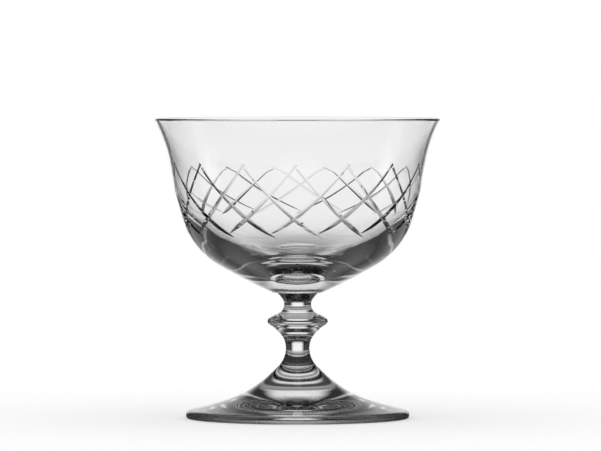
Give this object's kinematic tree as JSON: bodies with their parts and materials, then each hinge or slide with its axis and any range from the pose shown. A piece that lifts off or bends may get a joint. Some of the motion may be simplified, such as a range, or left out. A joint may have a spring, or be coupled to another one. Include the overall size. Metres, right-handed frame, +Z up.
{
  "type": "champagne coupe",
  "caption": "Footed champagne coupe of clear glass with a flared rim, a cut diamond band around the bowl, a short stem with a sharp-edged knop and a conical foot.",
  "frame": {"origin": "centre of the ring under the foot that the glass stands on", "axes": "+Z up the axis of the glass, from the foot to the rim; -Y towards the front, where a top peak of the cut pattern sits; +X to the right seen from the front"},
  "size_m": [0.1, 0.1, 0.105],
  "materials": {
    "clear_glass": "polished, with polished V-shaped cuts around the bowl"
  },
  "bodies": {
    "root": {"coupe_glass": "clear_glass"}
  },
  "joints": []
}
